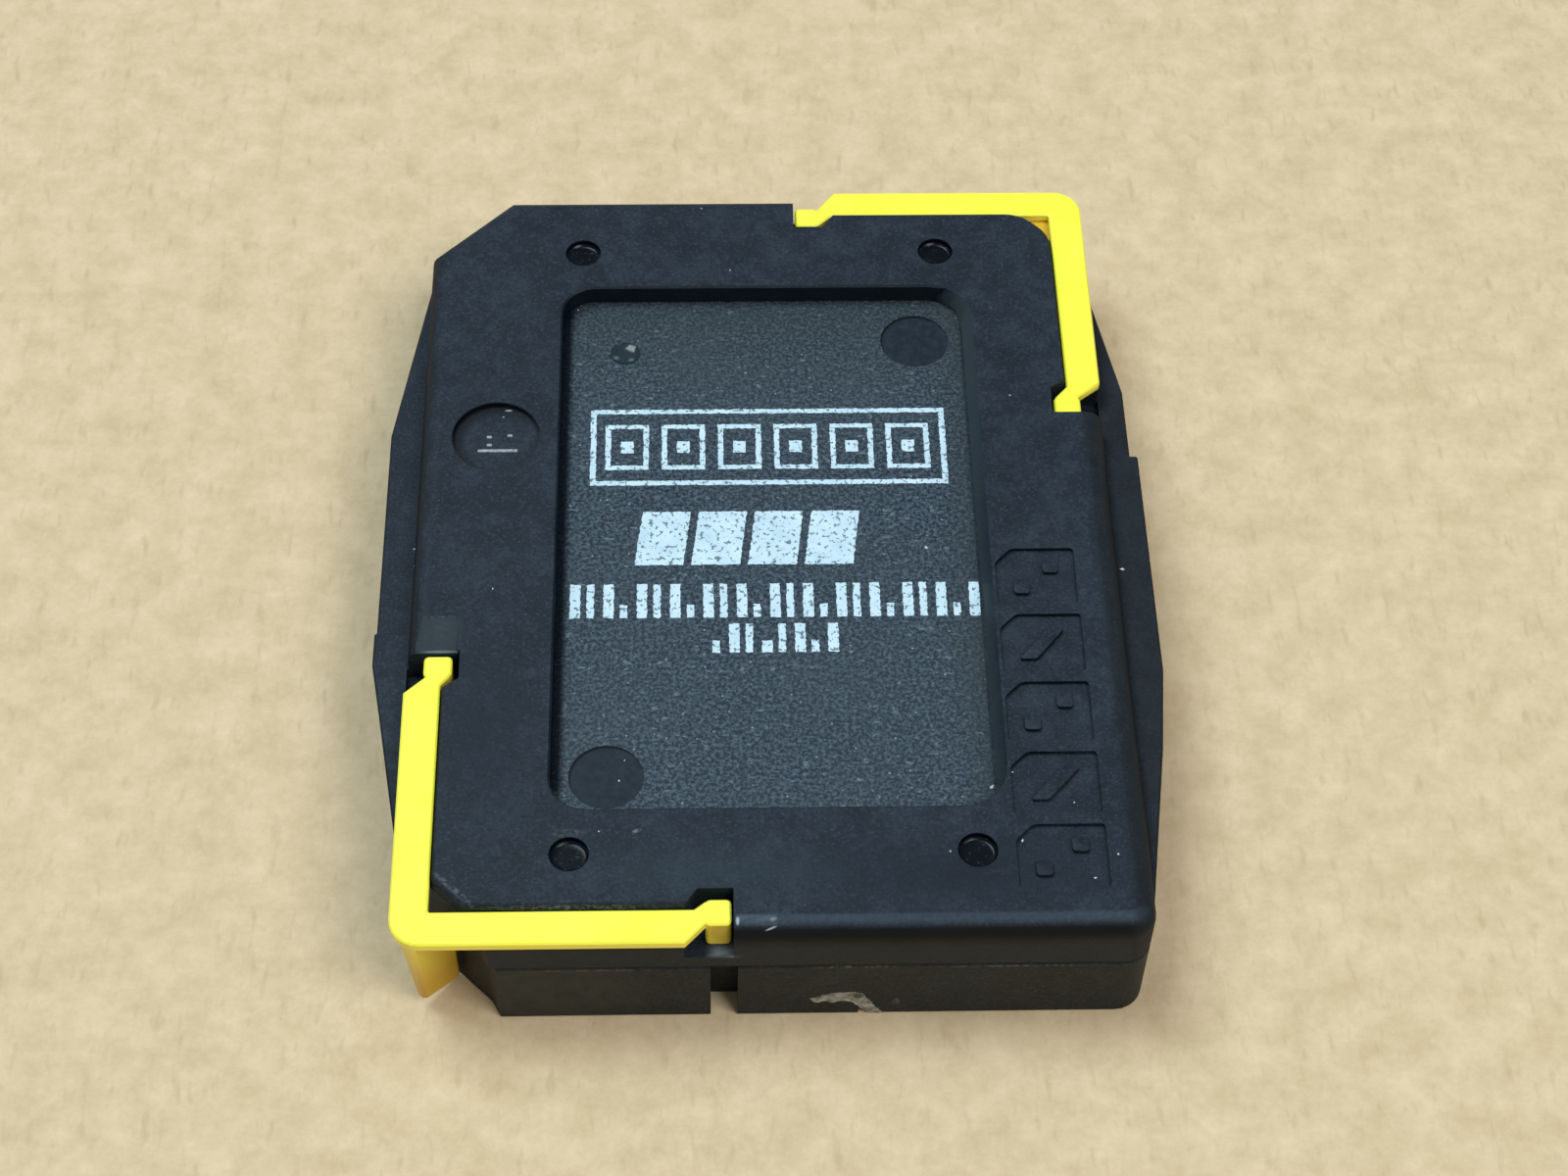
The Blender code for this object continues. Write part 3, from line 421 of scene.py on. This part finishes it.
# The relief left standing in the lid's right band: two low studs or one slanting bar in each sunk panel,
# and a thin bead that closes the gap under the window's right lip. The mould's edges are crisp, and the
# plastic is the lid's own.
SUNK = 0.004 * MM
BEAD_BOTTOM = 3.752 * MM
BEAD_HEIGHT = 0.06 * MM
bar_plans = []
for index, (left, front, right, rear) in enumerate(panels):
    if index % 2:
        bar_plans.append([(left + 0.5, front + 0.45), (left + 1.0, front + 0.45), (right - 0.5, rear - 0.5),
                          (right - 1.0, rear - 0.5)])
    else:
        bar_plans.append(box_corners(left + 0.5, front + 0.4, left + 0.95, front + 0.85))
        bar_plans.append(box_corners(right - 0.95, front + 1.15, right - 0.5, front + 1.6))
bars = [low_block(scaled(plan), TOP - PANEL_DEPTH - SUNK, PANEL_DEPTH + SUNK, 0.1 * MM, 0.015 * MM)
        for plan in bar_plans]
bars.append(low_block(scaled(box_corners(6.18, -8.5, 6.6, 8.7)), BEAD_BOTTOM, BEAD_HEIGHT))
band_relief = finished(gathered("band_relief", bars), lid_finish)


# The mark in the lid's round recess: a short bar and three pips, raised by the mould's insert.
# They are the same plastic, with a pale painted highlight where they stand proud.
MARK_BOTTOM = TOP - RECESS_DEPTH - SUNK
MARK_HEIGHT = 0.05 * MM + SUNK
mark_plans = [box_corners(-8.53, 3.12, -7.34, 3.22)]
for x, y in ((-8.2, 3.7), (-8.19, 3.39), (-7.59, 3.75)):
    mark_plans.append(box_corners(x - 0.08, y - 0.045, x + 0.08, y + 0.045))
marks = [low_block(scaled(plan), MARK_BOTTOM, MARK_HEIGHT, 0.03 * MM, 0.012 * MM) for plan in mark_plans]
mark_glint_finish, mark_glint_shader, mark_glint_place = new_finish("plastic with painted glints", Specular_IOR_Level=0.4)
glint_breaks = cloud(mark_glint_place, 0.12 * MM, detail=4)
mark_glint_tone = mixed(levels(glint_breaks, 0.3, 0.7), (0.16, 0.19, 0.22, 1), (0.4, 0.45, 0.48, 1))
feed(mark_glint_shader, Base_Color=mark_glint_tone, Roughness=levels(glint_breaks, 0.3, 0.7, 0.35, 0.55))
recess_mark = finished(gathered("recess_mark", marks), mark_glint_finish)


# The floors of the lid's four pits: the mould's core pins left each one a smooth dish with a raised rim,
# and dirt has caught in it. Moulded with the lid.
PIT_DEPTH = 0.5 * MM
pit_line = [(0.0, 0.27), (0.3, 0.27), (0.42, 0.27), (0.455, 0.276), (0.49, 0.292), (0.515, 0.318),
            (0.53, 0.33), (0.545, 0.33), (0.545, -0.004), (0.0, -0.004)]


def dish(x, y, z, line, steps=32):
    """A shallow round dish about an upright axis, from the line of its section in mm."""
    work = bmesh.new()
    points = [work.verts.new(((x + reach) * MM, y * MM, z + height * MM)) for reach, height in line]
    for start, end in zip(points, points[1:]):
        work.edges.new((start, end))
    bmesh.ops.spin(work, geom=work.verts[:] + work.edges[:], cent=(x * MM, y * MM, z), axis=(0, 0, 1),
                   angle=math.tau, steps=steps, use_merge=True)
    bmesh.ops.remove_doubles(work, verts=work.verts, dist=1e-8)
    bmesh.ops.recalc_face_normals(work, faces=work.faces)
    mesh = bpy.data.meshes.new("dish")
    work.to_mesh(mesh)
    work.free()
    return mesh


pit_finish, pit_shader, pit_place = new_finish("pit floor plastic", Specular_IOR_Level=PLASTIC_GLINT)
crumbs = cloud(pit_place, 0.13 * MM, detail=2, roughness=0.7)
# The dish is painted much darker than the lid as shade in the deep pit; the paler crumbs are dirt.
pit_tone = mixed(levels(crumbs, 0.62, 0.72), (0.0001, 0.0022, 0.006, 1), (0.02, 0.04, 0.06, 1))
feed(pit_shader, Base_Color=pit_tone, Roughness=levels(crumbs, 0.3, 0.7, 0.22, 0.3))
relief(pit_shader, crumbs, 0.0015 * MM, 0.4)
pit_dishes = [dish(x, y, TOP - PIT_DEPTH, pit_line) for x, y in PIT_PLACES]
pit_floors = finished(gathered("pit_floors", pit_dishes), pit_finish)


# The lower frame: the base under the chip, with a comb slot for each lead and an open underside.
# The same black plastic as the lid, painted browner and duller than it as a reflection of the warm floor.
# The parting line has flaked in places, and the front left corner is paler.
FRONT = -13.55
base_finish, base_shader, base_place = carrier_plastic(
    "base plastic", (0.0102, 0.0135, 0.0138, 1), (0.017, 0.0205, 0.0205, 1))
flaked = (((2.2, FRONT, 2.52), (1.4, 0.2, 0.05)), ((-5.0, FRONT, 2.5), (2.4, 0.2, 0.04)),
          ((6.5, FRONT, 2.5), (2.8, 0.2, 0.04)), ((3.36, FRONT, 0.64), (0.13, 0.2, 0.2)))
flaking = levels(cloud(base_place, 0.14 * MM, detail=4), 0.42, 0.6, 0, 0.9)
for centre, reach in flaked:
    lay_wear_and_light(base_shader, times(patch(base_place, centre, reach), flaking), (0.09, 0.09, 0.08, 1))
paler_patch = patch(base_place, (-6.5, FRONT, 1.3), (3.6, 0.6, 1.9))
paler_break = levels(cloud(base_place, 0.5 * MM), 0.3, 0.6, 0.3, 0.8)
lay_wear_and_light(base_shader, times(paler_patch, paler_break), (0.036, 0.037, 0.032, 1))
base = dressed_copy("lower_frame", "base", base_finish)


# The scrape on the base's front face: a shallow hook-shaped graze that runs down to the lower edge.
# The skin of the plastic is torn there, pale and rough.
SCRAPE_PROUD = 0.006 * MM
SCRAPE_ROOT = 0.002 * MM
scrape_line = [(0.96, 0.85), (1.14, 0.9), (1.3, 1.02), (1.62, 1.14), (2.18, 1.2), (2.45, 1.09), (2.5, 0.95),
               (2.59, 0.81), (2.7, 0.6), (2.8, 0.37), (3.03, 0.025), (2.68, 0.025), (2.5, 0.2), (2.34, 0.38),
               (2.2, 0.6), (2.11, 0.66), (1.85, 0.7), (1.58, 0.62), (1.42, 0.72), (1.3, 0.66), (1.14, 0.63)]
draw = random.Random(11)


def frayed(corners, step=0.07 * MM, fray=0.016 * MM):
    """The outline through corners, in short steps that stray a little."""
    outline = []
    for (x, y), (to_x, to_y) in zip(corners, corners[1:] + corners[:1]):
        count = max(1, round(math.hypot(to_x - x, to_y - y) / step))
        for index in range(count):
            share = index / count
            outline.append((x + (to_x - x) * share + draw.uniform(-fray, fray),
                            y + (to_y - y) * share + draw.uniform(-fray, fray)))
    return outline


scrape_outline = frayed(scaled(scrape_line), 0.05 * MM, 0.02 * MM)
scrape_mesh = low_block(scrape_outline, -SCRAPE_ROOT, SCRAPE_PROUD + SCRAPE_ROOT)
scrape_mesh.name = "scrape"
scrape_mesh.transform(Matrix.Translation((0, FRONT * MM, 0)) @ Matrix.Rotation(math.pi / 2, 4, "X"))
scrape_finish, scrape_shader, scrape_place = new_finish("scraped plastic", Specular_IOR_Level=0.3)
torn = cloud(scrape_place, 0.22 * MM, detail=5, roughness=0.65)
scrape_tone = mixed(levels(torn, 0.36, 0.62), (0.12, 0.12, 0.105, 1), (0.42, 0.42, 0.38, 1))
scrape_shade = patch(scrape_place, (2.3, FRONT, 0.98), (0.2, 0.3, 0.2))
scrape_tone = mixed(scrape_shade, scrape_tone, (0.07, 0.07, 0.06, 1))
feed(scrape_shader, Base_Color=scrape_tone, Roughness=levels(torn, 0.3, 0.7, 0.5, 0.8))
relief(scrape_shader, torn, 0.03 * MM, 0.8)
finished(scrape_mesh, scrape_finish)


# The chip: an epoxy body moulded round its leads, with a sandy matt skin and two smooth round marks
# left by the mould's ejector pins. Its leads are tinned copper alloy, bent like a gull's wing.
CHIP_FACE = 0.00375
BODY_HALF_X = 7.0 * MM
BODY_HALF_Y = 10.0 * MM
EJECTOR_X = 4.66 * MM
EJECTOR_Y = 8.03 * MM
EJECTOR_REACH = 1.1 * MM
EJECTOR_LOWEST = CHIP_FACE - 0.06 * MM
EJECTOR_HIGHEST = CHIP_FACE - 0.01 * MM
EJECTOR_SHIFT = Vector((0.085 * MM, -0.105 * MM, 0))
EPOXY_GLINT = 0.36
SHADED_GLINT = 0.08
epoxy_finish, epoxy_shader, epoxy_place = new_finish("chip epoxy")
sand = cloud(epoxy_place, 0.11 * MM, detail=2, roughness=0.7)
lumps = cloud(epoxy_place, 0.35 * MM)
worn_film = cloud(epoxy_place, 4 * MM, detail=4)
dashes = cloud(epoxy_place, 0.14 * MM, detail=2, roughness=0.6, stretch=(0.5, 1, 1))
grit = flecks(epoxy_place, 0.22 * MM, 0.035 * MM, 0.4)
across_x, across_y, _ = axes(epoxy_place)
lumpy_dashes = times(levels(dashes, 0.6, 0.72), levels(lumps, 0.4, 0.6))
lumpy_grit = times(grit, levels(lumps, 0.42, 0.58))
# Painted shade darkens the face towards its rear and right edges, and a painted shadow of the window's left
# wall lies along its left edge.
rear_margin = levels(across_y, 5.5 * MM, 9.6 * MM, 0, 0.5)
right_margin = levels(across_x, 5.0 * MM, 6.2 * MM, 0, 0.5)
left_shade = times(levels(across_x, -5.74 * MM, -5.92 * MM, 0, 0.88), levels(across_y, -9.1 * MM, -8.5 * MM))
epoxy_tone = mixed(levels(sand, 0.42, 0.68), (0.001, 0.011, 0.024, 1), (0.075, 0.118, 0.16, 1))
for mask, colour in (
        (levels(worn_film, 0.3, 0.7, 0, 0.35), (0.035, 0.055, 0.07, 1)),
        (lumpy_dashes, (0.13, 0.18, 0.21, 1)),
        (lumpy_grit, (0.24, 0.3, 0.33, 1)),
        (rear_margin, (0.016, 0.024, 0.026, 1)),
        (right_margin, (0.016, 0.024, 0.026, 1)),
        (left_shade, (0.0002, 0.003, 0.008, 1))):
    epoxy_tone = mixed(mask, epoxy_tone, colour)
feed(epoxy_shader, Base_Color=epoxy_tone, Roughness=levels(lumps, 0.3, 0.7, 0.5, 0.64),
     Specular_IOR_Level=levels(left_shade, 0, 1, EPOXY_GLINT, SHADED_GLINT))
relief(epoxy_shader, sand, 0.03 * MM, 0.8)

smooth_finish, smooth_shader, smooth_place = new_finish("smooth epoxy", Specular_IOR_Level=0.22)
clouding = cloud(smooth_place, 0.2 * MM, detail=4)
smooth_tone = mixed(levels(clouding, 0.35, 0.75), (0.006, 0.014, 0.024, 1), (0.015, 0.027, 0.042, 1))
# A painted shadow lies in a crescent along the upper left edge of each ejector mark.
mark_lights = [patch(smooth_place, centre, (1.06, 1.06, 2), soft=0.04)
               for centre in ((4.79, 7.87, 3.7), (-4.53, -8.19, 3.7))]
crescents = times(*(levels(light, 1, 0) for light in mark_lights))
smooth_tone = mixed(crescents, smooth_tone, (0.0005, 0.002, 0.005, 1))
feed(smooth_shader, Base_Color=smooth_tone, Roughness=levels(clouding, 0.3, 0.7, 0.46, 0.56))
relief(smooth_shader, clouding, 0.006 * MM, 0.5)

tin_finish, tin_shader, tin_place = new_finish("tinned leads", Metallic=1.0)
dull = cloud(tin_place, 0.12 * MM, detail=4)
tin_tone = mixed(levels(dull, 0.3, 0.7), (0.62, 0.61, 0.58, 1), (0.78, 0.77, 0.75, 1))
feed(tin_shader, Base_Color=tin_tone, Roughness=levels(dull, 0.3, 0.7, 0.3, 0.5))
relief(tin_shader, dull, 0.004 * MM, 0.4)

chip = dressed_copy("chip_package", "chip", epoxy_finish, smooth_finish, tin_finish)
for vert in chip.data.vertices:
    x, y, z = vert.co
    reach = math.hypot(abs(x) - EJECTOR_X, abs(y) - EJECTOR_Y)
    if x * y > 0 and z > EJECTOR_LOWEST and reach < EJECTOR_REACH:
        vert.co += EJECTOR_SHIFT
for face in chip.data.polygons:
    middle = face.center
    if abs(middle.x) > BODY_HALF_X or abs(middle.y) > BODY_HALF_Y:
        face.material_index = 2
    elif EJECTOR_LOWEST < middle.z < EJECTOR_HIGHEST and face.normal.z > 0.5:
        face.material_index = 1


# The dimple in the chip's face beside lead 1: a shallow bowl left by a polished pin of the mould.
# It is bare epoxy, smooth enough to mirror the light.
DIMPLE_X = -4.19
DIMPLE_Y = 7.48
bowl_line = [(0.0, -0.1), (0.17, -0.092), (0.31, -0.066), (0.4, -0.03), (0.455, 0.0), (0.46, -0.005),
             (0.46, -0.102), (0.0, -0.102)]
dimple_finish, dimple_shader, dimple_place = new_finish("polished epoxy", Specular_IOR_Level=0.4)
wipe = cloud(dimple_place, 0.15 * MM)
dimple_tone = mixed(wipe, (0.008, 0.02, 0.03, 1), (0.022, 0.038, 0.052, 1))
feed(dimple_shader, Base_Color=dimple_tone, Roughness=levels(wipe, 0.3, 0.7, 0.1, 0.2))
# Two painted highlights in the bowl.
for centre in ((-4.47, 7.36, 3.7), (-4.01, 7.29, 3.7)):
    lay_wear_and_light(dimple_shader, patch(dimple_place, centre, (0.12, 0.12, 0.2), soft=0.8), (0.11, 0.13, 0.15, 1))
dimple_bowl = dish(DIMPLE_X, DIMPLE_Y, CHIP_FACE, bowl_line)
dimple = finished(gathered("index_dimple", [dimple_bowl]), dimple_finish)


# The print on the chip's face: plain fields and bars of pale ink, stamped by a pad. The ink is a few
# thousandths of a millimetre thick, has frayed edges, and is full of pinholes over the sandy skin.
INK = 0.006 * MM
INK_BOTTOM = CHIP_FACE - 0.001 * MM


def ink_field(left, front, right, rear, slant=0.0):
    """A solid field of ink in mm, upright or slanting."""
    lean = (rear - front) * slant
    plan = [(left, front), (right, front), (right + lean, rear), (left + lean, rear)]
    return low_block(frayed(scaled(plan)), INK_BOTTOM, INK)


def ink_outline(left, front, right, rear, stroke):
    """The outline of a rectangle in ink, in mm, out of four strokes."""
    strokes = ((left, front, right, front + stroke), (left, rear - stroke, right, rear),
               (left, front + stroke, left + stroke, rear - stroke),
               (right - stroke, front + stroke, right, rear - stroke))
    return [ink_field(*sides) for sides in strokes]


prints = ink_outline(-5.2, 2.25, 5.5, 5.2, 0.17)
for index in range(6):
    left = -4.75 + 1.69 * index
    prints += ink_outline(left, 2.85, left + 1.3, 4.6, 0.16)
    prints.append(ink_field(left + 0.46, 3.5, left + 0.84, 3.95))
for index in range(4):
    left = -3.85 + 1.66 * index
    prints.append(ink_field(left, -0.75, left + 1.42, 1.23, slant=0.12))
for index in range(25):
    left = -5.7 + 0.482 * index
    tall = index % 4 != 3
    prints.append(ink_field(left, -2.67, left + (0.21 if index % 2 else 0.3), -1.45 if tall else -2.2))
for index in range(8):
    left = -1.59 + 0.474 * index
    prints.append(ink_field(left, -3.92, left + (0.3 if index % 2 else 0.21), -2.9 if index % 3 else -3.5))
ink_finish, ink_shader, ink_place = new_finish("pad-printed ink")
holes = cloud(ink_place, 0.15 * MM, detail=2, roughness=0.6)
film = cloud(ink_place, 0.6 * MM)
ink_tone = mixed(levels(film, 0.3, 0.7), (0.48, 0.68, 0.81, 1), (0.6, 0.8, 0.93, 1))
ink_tone = mixed(levels(holes, 0.56, 0.62, 0, 0.85), ink_tone, (0.06, 0.1, 0.13, 1))
feed(ink_shader, Base_Color=ink_tone, Roughness=levels(film, 0.3, 0.7, 0.5, 0.7))
relief(ink_shader, holes, 0.01 * MM, 0.5)
finished(gathered("print", prints), ink_finish)


# The two clips: flat L-shaped springs with a thick tab at each end and a grip fin under the corner.
# Unfilled yellow plastic, moulded in one piece, glossier than the frames and a little translucent;
# its amber low down and in the shade is painted shade in its colour.
clip_finish, clip_shader, clip_place = new_finish(
    "yellow plastic", Specular_IOR_Level=0.5, Subsurface_Weight=0.12, Subsurface_Scale=0.0003)
flow = cloud(clip_place, 1.5 * MM, detail=4)
skin = cloud(clip_place, 0.12 * MM, detail=2)
height = axes(clip_place)[2]
upward = facing(clip_place)[2]
tab_end = patch(clip_place, (-1.45, -13.5, 3.9), (0.6, 0.5, 0.9), soft=0.3)
web_shade = patch(clip_place, (9.0, 12.5, 3.85), (1.6, 1.6, 0.16), soft=0.3)
clip_tone = mixed(levels(flow, 0.3, 0.7), (0.94, 0.93, 0.06, 1), (0.98, 0.97, 0.08, 1))
# painted shade: the sides, the low parts, the tab ends in the notch and the web turn amber
for mask, colour in (
        (levels(upward, 0.7, 0.2), (1.0, 0.86, 0.1, 1)),
        (levels(height, 3.9 * MM, 1.2 * MM), (0.66, 0.395, 0.028, 1)),
        (times(tab_end, levels(upward, 0.6, 0.3)), (0.6, 0.44, 0.035, 1)),
        (web_shade, (0.7, 0.45, 0.03, 1))):
    clip_tone = mixed(mask, clip_tone, colour)
feed(clip_shader, Base_Color=clip_tone, Roughness=levels(flow, 0.3, 0.7, 0.3, 0.42))
relief(clip_shader, skin, 0.006 * MM, 0.4)
for corner in ("front_left", "back_right"):
    clip = dressed_copy("clip_" + corner, "spring_clip_" + corner, clip_finish)


# The web in the back clip's inner corner: a small triangle that shows between the clip and the lid.
# It is the clips' own plastic, moulded with them, and lies in their shade, which is painted on it as orange.
WEB_BOTTOM = 3.76 * MM
WEB_HEIGHT = 0.175 * MM
web_plan = scaled([(8.35, 12.86), (9.29, 12.86), (9.29, 11.95)])
clip_web = finished(gathered("clip_web", [low_block(web_plan, WEB_BOTTOM, WEB_HEIGHT)]), clip_finish)


# Dust: a few pale grains and fibres that lie on the frames and the chip.
# Each one is given by its place and its length in mm, and lies at a chance angle.
GRAIN_HEIGHT = 0.02 * MM
GRAIN_SUNK = 0.002
grain_places = (
    (-10.33, 0.21, 3.35, 0.1), (-10.3, -0.41, 3.35, 0.08), (10.44, -0.89, 3.55, 0.16),
    (4.71, -0.18, 3.75, 0.13), (-5.68, 9.29, 3.75, 0.08), (-0.93, 10.29, 4.45, 0.07),
    (-4.72, -10.37, 4.45, 0.06), (-7.88, -2.1, 4.45, 0.07), (6.1, -8.6, 3.75, 0.17),
    (6.62, -8.57, 4.45, 0.07), (6.74, -10.8, 4.45, 0.11), (4.77, -11.11, 4.45, 0.08),
    (8.26, -9.5, 4.32, 0.07), (8.68, -10.1, 4.32, 0.06), (8.62, -12.0, 4.45, 0.09),
    (9.3, -11.25, 4.45, 0.08), (-4.22, -8.24, 3.71, 0.07), (-4.07, -7.57, 3.71, 0.06),
    (9.95, -7.2, 3.55, 0.06))
grains = []
for x, y, z, length in grain_places:
    angle = draw.uniform(0, math.pi)
    arm = Vector((math.cos(angle), math.sin(angle))) * length / 2
    side = Vector((-arm.y, arm.x)) * 0.5
    plan = [(x + way.x, y + way.y) for way in (-arm, side, arm, -side)]
    outline = frayed(scaled(plan), 0.03 * MM, 0.008 * MM)
    grains.append(low_block(outline, (z - GRAIN_SUNK) * MM, GRAIN_HEIGHT))
dust_finish, dust_shader, dust_place = new_finish("dust", Roughness=0.9)
lint = cloud(dust_place, 0.05 * MM)
feed(dust_shader, Base_Color=mixed(lint, (0.45, 0.47, 0.46, 1), (0.85, 0.87, 0.86, 1)))
finished(gathered("dust_grains", grains), dust_finish)


# The floor: a plain pale sheet of matt paper that the carrier stands on.
# It isn't coated, so its fibres and a few darker hairs just show.
FLOOR_HALF = 0.6
floor_mesh = bpy.data.meshes.new("floor")
sheet = bmesh.new()
bmesh.ops.create_grid(sheet, x_segments=1, y_segments=1, size=FLOOR_HALF)
sheet.to_mesh(floor_mesh)
sheet.free()
floor_finish, floor_shader, floor_place = new_finish("pale paper", Roughness=0.9)
fibres = cloud(floor_place, 1.4 * MM, detail=8, roughness=0.78)
hairs = cloud(floor_place, 0.35 * MM, stretch=(1, 0.3, 1))
floor_tone = mixed(levels(fibres, 0.34, 0.66), (0.58, 0.46, 0.28, 1), (0.74, 0.6, 0.4, 1))
floor_tone = mixed(levels(hairs, 0.42, 0.25, 0, 0.5), floor_tone, (0.48, 0.37, 0.22, 1))
feed(floor_shader, Base_Color=floor_tone)
floor_mesh.materials.append(floor_finish)
floor = bpy.data.objects.new("floor", floor_mesh)
bpy.context.scene.collection.objects.link(floor)


# The light: a soft cool panel high behind the carrier on the left, a weaker, warmer one high in front on
# the right, and an even pale surround that fills the shadows.
SURROUND = (1.0, 0.98, 0.94, 1)
SURROUND_STRENGTH = 0.25
AIM = Vector((0, 0, 0.002))


def soft_light(name, place, size, power, colour):
    """A square panel of light that faces the carrier."""
    lamp = bpy.data.lights.new(name, "AREA")
    lamp.size = size
    lamp.energy = power
    lamp.color = colour
    panel = bpy.data.objects.new(name, lamp)
    panel.location = place
    panel.rotation_euler = (AIM - Vector(place)).to_track_quat("-Z", "Y").to_euler()
    bpy.context.scene.collection.objects.link(panel)


soft_light("key", (-0.13, 0.08, 0.345), 0.18, 0.92, (0.8, 0.94, 1.0))
soft_light("fill", (0.15, -0.14, 0.31), 0.16, 0.66, (1.0, 0.98, 0.94))
world = bpy.data.worlds.new("surround")
world.use_nodes = True
background = world.node_tree.nodes["Background"]
background.inputs["Color"].default_value = SURROUND
background.inputs["Strength"].default_value = SURROUND_STRENGTH
bpy.context.scene.world = world
